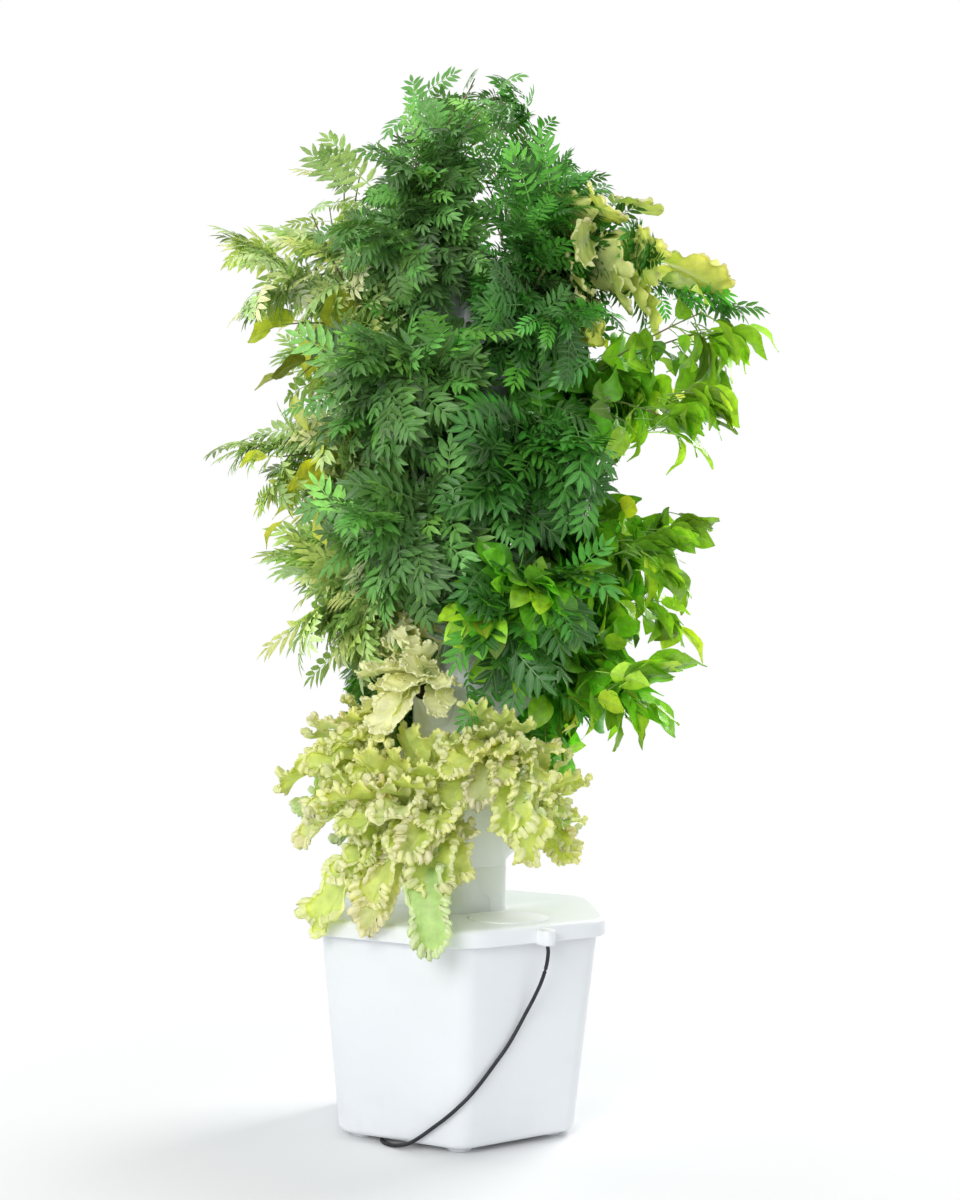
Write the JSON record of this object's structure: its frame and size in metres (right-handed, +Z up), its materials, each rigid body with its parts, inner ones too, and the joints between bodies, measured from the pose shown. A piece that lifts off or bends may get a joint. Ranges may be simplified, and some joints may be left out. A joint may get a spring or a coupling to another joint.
{
  "type": "hydroponic tower",
  "caption": "Floor-standing hydroponic tower: six-sided white tub and lid, stacked white column with tilted planting ports full of herbs and lettuce, pump, riser and mains lead.",
  "frame": {"origin": "floor level under the column's axis, on the tub's middle foot pad", "axes": "+Z up along the column; -Y towards the access cover and the cord spout; +X to the right of those"},
  "size_m": [0.9084, 0.9032, 1.9794],
  "materials": {
    "white_tub_plastic": "smooth moulded satin white",
    "white_column_plastic": "smooth moulded satin white",
    "dark_cup_plastic": "dark moulded matte",
    "black_pump_plastic": "black moulded matte",
    "magnet_grey_plastic": "grey moulded matte",
    "pipe_plastic": "pale grey extruded satin",
    "black_rubber": "black satin rubber",
    "bright_steel": "bright turned steel",
    "grow_foam": "brown open foam",
    "lettuce_leaf": "frilly pale green leaf with pinkish edges",
    "herb_leaf": "green leaf, satin above and paler below"
  },
  "bodies": {
    "stand": {"reservoir_tub": "white_tub_plastic", "reservoir_lid": "white_tub_plastic", "tower_foot": "white_column_plastic", "spray_head": "white_column_plastic", "tower_section_1": "white_column_plastic", "tower_section_2": "white_column_plastic", "tower_section_3": "white_column_plastic", "tower_section_4": "white_column_plastic", "tower_section_5": "white_column_plastic", "tower_section_6": "white_column_plastic", "tower_section_7": "white_column_plastic", "tower_section_8": "white_column_plastic", "tower_section_9": "white_column_plastic", "net_cups_1": "dark_cup_plastic", "net_cups_2": "dark_cup_plastic", "net_cups_3": "dark_cup_plastic", "net_cups_4": "dark_cup_plastic", "net_cups_5": "dark_cup_plastic", "net_cups_6": "dark_cup_plastic", "net_cups_7": "dark_cup_plastic", "net_cups_8": "dark_cup_plastic", "net_cups_9": "dark_cup_plastic", "pump_body": "black_pump_plastic", "pump_front": "black_pump_plastic", "riser_lower": "pipe_plastic", "riser_coupling": "pipe_plastic", "riser_upper": "pipe_plastic", "cord_grommet": "black_rubber", "pump_feet": "black_rubber", "pump_gland": "black_rubber", "pump_lead": "black_rubber", "outlet_sleeve": "black_rubber", "power_cord": "black_rubber", "cord_coil": "black_rubber", "cord_tie": "black_rubber", "plug_body": "black_rubber", "pump_shaft": "bright_steel", "plug_pins": "bright_steel", "grow_plugs_1": "grow_foam", "grow_plugs_2": "grow_foam", "grow_plugs_3": "grow_foam", "grow_plugs_4": "grow_foam", "grow_plugs_5": "grow_foam", "grow_plugs_6": "grow_foam", "grow_plugs_7": "grow_foam", "grow_plugs_8": "grow_foam", "grow_plugs_9": "grow_foam", "plants_1": "lettuce_leaf", "plants_2": "lettuce_leaf", "plants_3": "herb_leaf", "plants_4": "herb_leaf", "plants_5": "herb_leaf", "plants_6": "herb_leaf", "plants_7": "herb_leaf", "plants_8": "herb_leaf", "plants_9": "herb_leaf"},
    "cover": {"access_cover": "white_tub_plastic"},
    "cap": {"tower_cap": "white_column_plastic"},
    "rotor": {"pump_impeller": "magnet_grey_plastic"},
    "shutter": {"flow_slider": "black_pump_plastic"}
  },
  "joints": [
    {"name": "cover_lift", "type": "slide", "parent": "stand", "child": "cover", "axis": [0, 0, 1], "range_m": [0, 0.06]},
    {"name": "cap_lift", "type": "slide", "parent": "stand", "child": "cap", "axis": [0, 0, 1], "range_m": [0, 0.06]},
    {"name": "rotor_spin", "type": "hinge", "parent": "stand", "child": "rotor", "pos_m": [0, 0, 0.046], "axis": [0, 1, 0], "continuous": true},
    {"name": "shutter_slide", "type": "slide", "parent": "stand", "child": "shutter", "axis": [1, 0, 0], "range_m": [0, 0.008]}
  ]
}
